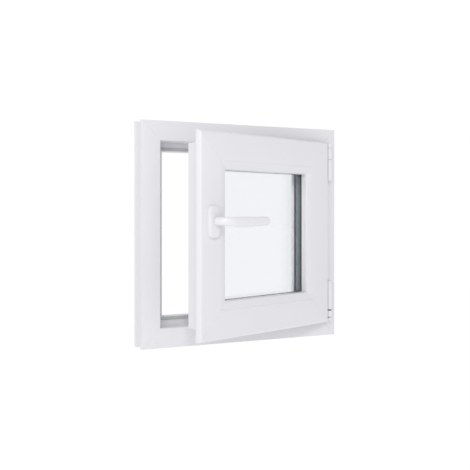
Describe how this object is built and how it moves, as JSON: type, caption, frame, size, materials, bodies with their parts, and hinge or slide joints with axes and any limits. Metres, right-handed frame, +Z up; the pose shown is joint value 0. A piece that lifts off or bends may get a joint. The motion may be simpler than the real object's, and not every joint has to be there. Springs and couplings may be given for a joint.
{
  "type": "casement window",
  "caption": "White plastic tilt-and-turn casement window, its double-glazed sash open inwards on right-hand hinges, with a lever handle.",
  "frame": {"origin": "underside of the sill's front leg, half way along it and half way through its 10 mm", "axes": "+X to the right seen from the room, +Y out of doors, +Z up"},
  "size_m": [0.5, 0.2606, 0.5],
  "materials": {
    "white_plastic": "smooth white extruded vinyl, soft satin gloss",
    "white_paint": "white powder coat, satin",
    "grey_seal": "light grey sealing rubber, matt",
    "dark_seal": "dark grey glazing rubber, matt",
    "glass": "clear float glass",
    "spacer": "grey warm-edge spacer",
    "sealant": "black edge sealant",
    "packer_plastic": "blue moulded packer",
    "galvanised_steel": "hot-dip galvanised",
    "zinc_steel": "bright zinc plate"
  },
  "bodies": {
    "frame": {"frame_left_jamb": "white_plastic", "frame_right_jamb": "white_plastic", "frame_head": "white_plastic", "frame_sill": "white_plastic", "frame_steel_left": "galvanised_steel", "frame_steel_right": "galvanised_steel", "frame_steel_top": "galvanised_steel", "frame_steel_bottom": "galvanised_steel", "frame_gasket": "grey_seal", "drain_cap_left": "white_plastic", "drain_cap_right": "white_plastic", "keep_head": "zinc_steel", "keep_sill": "zinc_steel", "top_hinge_bracket": "white_paint", "lower_hinge_bracket": "white_paint"},
    "hinge_swivel": {"lower_hinge_ball": "zinc_steel", "top_hinge_pin": "zinc_steel"},
    "stay": {"stay_arm": "zinc_steel"},
    "sash": {"sash_left_stile": "white_plastic", "sash_right_stile": "white_plastic", "sash_top_rail": "white_plastic", "sash_bottom_rail": "white_plastic", "sash_steel_right": "galvanised_steel", "sash_steel_top": "galvanised_steel", "sash_steel_bottom": "galvanised_steel", "sash_gasket": "grey_seal", "bead_left": "white_plastic", "bead_right": "white_plastic", "bead_top": "white_plastic", "bead_bottom": "white_plastic", "bead_gasket": "dark_seal", "flange_gasket": "dark_seal", "glass_inner": "glass", "glass_outer": "glass", "glass_spacer": "spacer", "glass_edge_seal": "sealant", "glazing_block_1": "packer_plastic", "glazing_block_2": "packer_plastic", "glazing_block_3": "packer_plastic", "glazing_block_4": "packer_plastic", "lower_hinge_band": "white_paint", "faceplate_left": "zinc_steel", "faceplate_top": "zinc_steel", "faceplate_bottom": "zinc_steel", "corner_drive_top": "zinc_steel", "corner_drive_bottom": "zinc_steel", "gearbox": "zinc_steel", "stay_pivot": "zinc_steel", "handle_base": "zinc_steel", "handle_cover": "white_plastic", "handle_screw_lower": "zinc_steel", "handle_screw_upper": "zinc_steel"},
    "handle": {"handle_lever": "white_paint", "handle_spindle": "zinc_steel", "gear_pinion": "zinc_steel"},
    "rod_left": {"drive_rod_left": "zinc_steel"},
    "rod_top": {"drive_rod_top": "zinc_steel"},
    "rod_bottom": {"drive_rod_bottom": "zinc_steel"}
  },
  "joints": [
    {"name": "sash_turn", "type": "hinge", "parent": "frame", "child": "hinge_swivel", "pos_m": [0.227, -0.017, 0.045], "axis": [0, 0, 1], "range_deg": [-20, 70]},
    {"name": "sash_tilt", "type": "hinge", "parent": "hinge_swivel", "child": "sash", "pos_m": [0.227, -0.017, 0.045], "axis": [0.9397, 0.342, 0], "range_deg": [0, 8]},
    {"name": "stay_swing", "type": "hinge", "parent": "hinge_swivel", "child": "stay", "pos_m": [0.227, -0.017, 0.44], "axis": [0, 0, 1], "range_deg": [0, 14.2]},
    {"name": "handle_turn", "type": "hinge", "parent": "sash", "child": "handle", "pos_m": [-0.15387, -0.16201, 0.279], "axis": [0.342, -0.9397, 0], "range_deg": [-90, 90]},
    {"name": "rod_left_slide", "type": "slide", "parent": "sash", "child": "rod_left", "axis": [0, 0, 1], "range_m": [-0.0143, 0.0143]},
    {"name": "rod_top_slide", "type": "slide", "parent": "sash", "child": "rod_top", "axis": [0.9397, 0.342, 0], "range_m": [-0.0143, 0.0143]},
    {"name": "rod_bottom_slide", "type": "slide", "parent": "sash", "child": "rod_bottom", "axis": [0.9397, 0.342, 0], "range_m": [-0.0143, 0.0143]}
  ],
  "couplings": [
    {"joint": "stay_swing", "follows": "sash_tilt", "ratio": 1.76},
    {"joint": "rod_left_slide", "follows": "handle_turn", "m_per_rad": -0.009},
    {"joint": "rod_top_slide", "follows": "handle_turn", "m_per_rad": -0.009},
    {"joint": "rod_bottom_slide", "follows": "handle_turn", "m_per_rad": 0.009}
  ]
}
